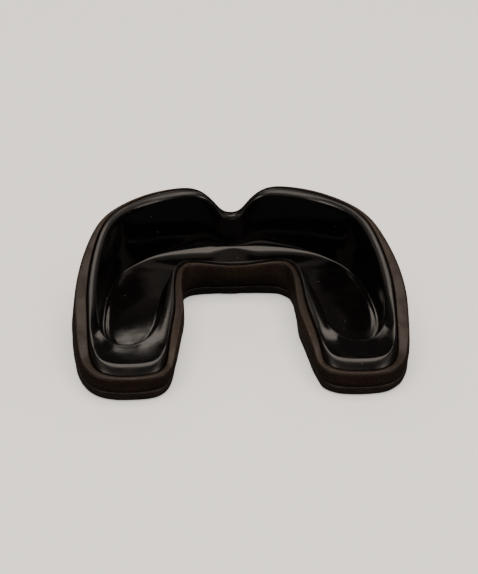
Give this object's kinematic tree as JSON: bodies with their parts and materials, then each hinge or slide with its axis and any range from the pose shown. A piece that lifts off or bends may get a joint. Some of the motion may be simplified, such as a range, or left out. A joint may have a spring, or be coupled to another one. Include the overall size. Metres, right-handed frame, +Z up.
{
  "type": "mouthguard",
  "caption": "U-shaped two-layer boil-and-bite mouthguard for the upper teeth, with a tall front wall, a notch over the frenum and an open tooth channel.",
  "frame": {"origin": "centre of the bounding box, on the surface that the guard rests on", "axes": "+Z up from the bite side to the gums; +Y towards the lips; +X completes the frame, and the guard is the same on both sides of X = 0"},
  "size_m": [0.068, 0.047, 0.02],
  "materials": {
    "bite_pad": "satin",
    "outer_frame": "satin",
    "fit_liner": "gloss"
  },
  "bodies": {
    "root": {"bite_pad": "bite_pad", "outer_frame": "outer_frame", "fit_liner": "fit_liner"}
  },
  "joints": []
}
